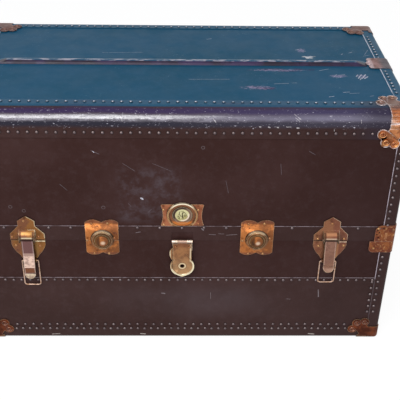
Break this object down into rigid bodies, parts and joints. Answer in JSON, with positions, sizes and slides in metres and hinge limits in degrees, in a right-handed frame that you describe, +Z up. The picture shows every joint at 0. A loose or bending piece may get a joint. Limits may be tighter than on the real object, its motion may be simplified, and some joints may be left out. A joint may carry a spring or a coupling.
{
  "type": "travel trunk",
  "caption": "Fibre-covered plywood travel trunk lying flat, hinged lid, draw latches, dowels, hasp lock, corner brackets and end handles.",
  "frame": {"origin": "middle of the footprint, on the plane that the four bottom corner brackets stand on", "axes": "+X along the length, to the right of a person facing the front; the front with its latches faces -Y; +Z up"},
  "size_m": [0.971, 0.5062, 0.5925],
  "materials": {
    "plywood": "raw plywood",
    "fibre_covering": "enamelled vulcanised fibre, worn gloss",
    "fibre_binding": "enamelled vulcanised fibre strip, polished by wear",
    "lining": "plain cloth lining",
    "brassed_steel": "pressed steel with worn brass plating",
    "steel_pins": "drawn steel wire, tarnished",
    "lock_brass": "cast brass, polished by use",
    "lock_steel": "plain sheet steel",
    "leather": "oiled strap leather"
  },
  "bodies": {
    "lower_half": {"back_hinge_pins": "steel_pins", "hasp_hinge": "brassed_steel", "hasp_pin": "steel_pins", "left_back_bottom_bracket": "brassed_steel", "left_dowel_tongue": "brassed_steel", "left_front_bottom_bracket": "brassed_steel", "left_handle": "leather", "left_handle_loops": "brassed_steel", "left_hinge_lower_leaf": "brassed_steel", "left_latch_catch": "brassed_steel", "lower_box": "plywood", "lower_covering": "fibre_covering", "lower_end_bindings": "fibre_binding", "lower_front_panel": "fibre_covering", "lower_lining": "lining", "lower_long_bindings": "fibre_binding", "lower_seam_clamps": "brassed_steel", "middle_hinge_lower_leaf": "brassed_steel", "right_back_bottom_bracket": "brassed_steel", "right_dowel_tongue": "brassed_steel", "right_front_bottom_bracket": "brassed_steel", "right_handle": "leather", "right_handle_loops": "brassed_steel", "right_hinge_lower_leaf": "brassed_steel", "right_latch_catch": "brassed_steel", "rim_lip": "plywood"},
    "lid": {"left_back_top_bracket": "brassed_steel", "left_dowel_boss": "brassed_steel", "left_front_top_bracket": "brassed_steel", "left_hinge_upper_leaf": "brassed_steel", "left_latch_pin": "steel_pins", "left_latch_plate": "brassed_steel", "left_ridge_clamp": "brassed_steel", "lid_back_binding": "fibre_binding", "lid_box": "plywood", "lid_covering": "fibre_covering", "lid_end_bindings": "fibre_binding", "lid_front_binding": "fibre_binding", "lid_lining": "lining", "lid_seam_clamps": "brassed_steel", "lid_valance": "fibre_covering", "lock_case": "lock_steel", "lock_plate": "brassed_steel", "middle_hinge_upper_leaf": "brassed_steel", "right_back_top_bracket": "brassed_steel", "right_dowel_boss": "brassed_steel", "right_front_top_bracket": "brassed_steel", "right_hinge_upper_leaf": "brassed_steel", "right_latch_pin": "steel_pins", "right_latch_plate": "brassed_steel", "right_ridge_clamp": "brassed_steel", "top_ridge": "fibre_binding"},
    "left_latch_strap": {"left_latch_strap": "brassed_steel"},
    "right_latch_strap": {"right_latch_strap": "brassed_steel"},
    "left_latch_bail": {"left_latch_bail": "steel_pins"},
    "right_latch_bail": {"right_latch_bail": "steel_pins"},
    "hasp": {"hasp": "brassed_steel"},
    "lock_plug": {"lock_plug": "lock_brass", "lock_cam": "lock_steel"}
  },
  "joints": [
    {"name": "lid_hinge", "type": "hinge", "parent": "lower_half", "child": "lid", "pos_m": [0, 0.243, 0.28], "axis": [-1, 0, 0], "range_deg": [0, 100]},
    {"name": "left_latch_strap_hinge", "type": "hinge", "parent": "lid", "child": "left_latch_strap", "pos_m": [-0.3285, -0.2457, 0.2867], "axis": [-1, 0, 0], "range_deg": [0, 90]},
    {"name": "right_latch_strap_hinge", "type": "hinge", "parent": "lid", "child": "right_latch_strap", "pos_m": [0.3195, -0.2457, 0.2867], "axis": [-1, 0, 0], "range_deg": [0, 90]},
    {"name": "left_latch_bail_swing", "type": "hinge", "parent": "lower_half", "child": "left_latch_bail", "pos_m": [-0.3285, -0.2407, 0.2278], "axis": [-1, 0, 0], "range_deg": [0, 110]},
    {"name": "right_latch_bail_swing", "type": "hinge", "parent": "lower_half", "child": "right_latch_bail", "pos_m": [0.3195, -0.2407, 0.2278], "axis": [-1, 0, 0], "range_deg": [0, 110]},
    {"name": "hasp_hinge_swing", "type": "hinge", "parent": "lower_half", "child": "hasp", "pos_m": [0.001, -0.244, 0.2818], "axis": [-1, 0, 0], "range_deg": [0, 180]},
    {"name": "lock_plug_turn", "type": "hinge", "parent": "lid", "child": "lock_plug", "pos_m": [0.001, -0.2365, 0.3456], "axis": [0, -1, 0], "range_deg": [0, 90]}
  ]
}
